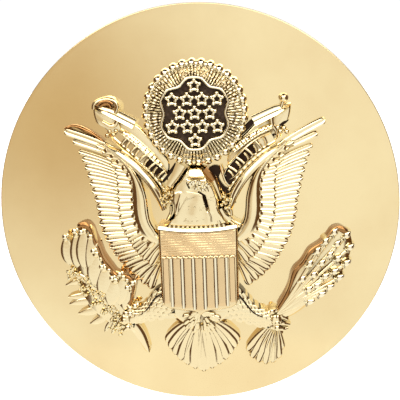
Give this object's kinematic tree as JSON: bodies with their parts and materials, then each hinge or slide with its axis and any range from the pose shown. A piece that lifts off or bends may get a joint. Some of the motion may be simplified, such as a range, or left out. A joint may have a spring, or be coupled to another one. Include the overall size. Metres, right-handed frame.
{
  "type": "cap badge",
  "caption": "Round domed gilt cap badge with an eagle, shield, scroll and starred ring in relief, held by a threaded post, anchor plate and knurled nut",
  "frame": {"origin": "on the post's axis, in the plane of the disc's rear rim, where the cap's cloth begins", "axes": "the badge stands as worn: face towards -Y, top towards +Z, +X to the viewer's right, the post pointing along +Y"},
  "size_m": [0.0382, 0.0168, 0.0382],
  "materials": {
    "disc_gilt": "polished",
    "emblem_gilt": "polished",
    "dark_field": "satin",
    "post_brass": "satin",
    "plate_brass": "satin",
    "nut_brass": "satin",
    "solder": "satin"
  },
  "bodies": {
    "badge": {"disc": "disc_gilt", "wing_left": "emblem_gilt", "wing_right": "emblem_gilt", "eagle_body": "emblem_gilt", "eagle_head": "emblem_gilt", "tail_fan": "emblem_gilt", "leg_left": "emblem_gilt", "leg_right": "emblem_gilt", "shield_plate": "emblem_gilt", "shield_chief": "emblem_gilt", "shield_pales": "emblem_gilt", "scroll_left": "emblem_gilt", "scroll_right": "emblem_gilt", "ring_rays": "emblem_gilt", "ring_beads": "emblem_gilt", "star_field": "dark_field", "field_border": "emblem_gilt", "stars": "emblem_gilt", "olive_stem": "emblem_gilt", "olive_leaves": "emblem_gilt", "arrow_shafts": "emblem_gilt", "arrow_heads": "emblem_gilt", "arrow_feathers": "emblem_gilt", "screw_post": "post_brass", "post_solder": "solder", "emblem_rivets": "post_brass", "locating_prongs": "post_brass"},
    "anchor": {"anchor_plate": "plate_brass"},
    "nut": {"thumb_nut": "nut_brass"}
  },
  "joints": [
    {"name": "nut_travel", "type": "slide", "parent": "badge", "child": "anchor", "axis": [0, 1, 0], "range_m": [0, 0.00953]},
    {"name": "nut_turn", "type": "hinge", "parent": "anchor", "child": "nut", "pos_m": [0, 0.005, 0], "axis": [0, 1, 0], "range_deg": [0, 4320]}
  ],
  "couplings": [
    {"joint": "nut_turn", "follows": "nut_travel", "rad_per_m": 7915.8}
  ]
}
